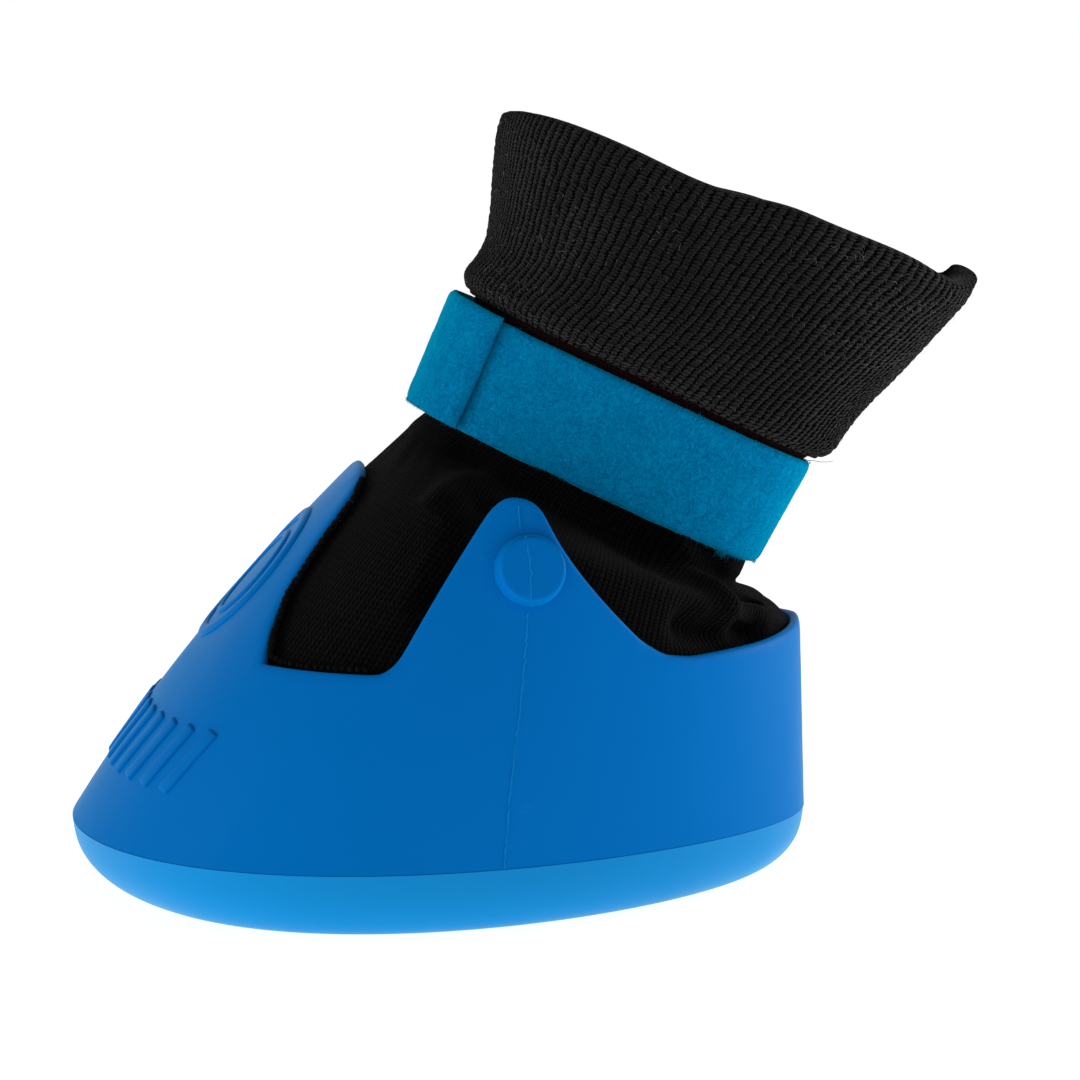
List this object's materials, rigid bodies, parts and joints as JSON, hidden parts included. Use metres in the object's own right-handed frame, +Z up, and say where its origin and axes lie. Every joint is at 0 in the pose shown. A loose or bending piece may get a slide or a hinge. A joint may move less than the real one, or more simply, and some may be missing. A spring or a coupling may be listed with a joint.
{
  "type": "horse hoof boot",
  "caption": "Moulded rubber hoof boot with a toe shield, side flaps and heel cup, a knitted sock with a turned-down cuff, and a hook-and-loop strap round the pastern.",
  "frame": {"origin": "middle of the sole's length and width, on the ground face of the tread", "axes": "+Z up from the ground, -Y towards the toe, +Y towards the heel, +X towards the near side"},
  "size_m": [0.1478, 0.2014, 0.1701],
  "materials": {
    "shell_rubber": "satin moulded elastomer, mid blue",
    "sole_rubber": "satin moulded elastomer, lighter blue",
    "insole_foam": "matte closed-cell foam, dark grey",
    "sock_knit": "fine black rib knit",
    "cuff_knit": "coarse black knit with stitch columns",
    "strap_loop": "felted loop pile, teal blue",
    "hook_tape": "moulded hook tape, teal blue",
    "stitch_thread": "twisted sewing thread, teal blue"
  },
  "bodies": {
    "boot": {"outsole": "sole_rubber", "shell": "shell_rubber", "insole_pad": "insole_foam", "sock_foot": "sock_knit", "sock_ankle": "sock_knit"},
    "leg": {"sock_leg": "sock_knit", "cuff": "cuff_knit", "strap_band": "strap_loop", "strap_tack": "stitch_thread"},
    "arm": {"strap_arm": "strap_loop"},
    "tab": {"strap_tab": "strap_loop", "hook_patch": "hook_tape"}
  },
  "joints": [
    {"name": "pastern_flex", "type": "hinge", "parent": "boot", "child": "leg", "pos_m": [0, 0.02974, 0.08315], "axis": [1, 0, 0], "range_deg": [-6, 12], "stiffness_Nm_per_rad": 2, "deforming": ["sock_ankle"]},
    {"name": "strap_open", "type": "hinge", "parent": "leg", "child": "arm", "pos_m": [-0.02615, 0.01771, 0.1076], "axis": [0.0319, -0.4222, -0.9059], "range_deg": [0, 110]},
    {"name": "tab_peel", "type": "hinge", "parent": "arm", "child": "tab", "pos_m": [0.0005, -0.00274, 0.11722], "axis": [-0.0006, -0.3932, -0.9194], "range_deg": [0, 60]}
  ]
}
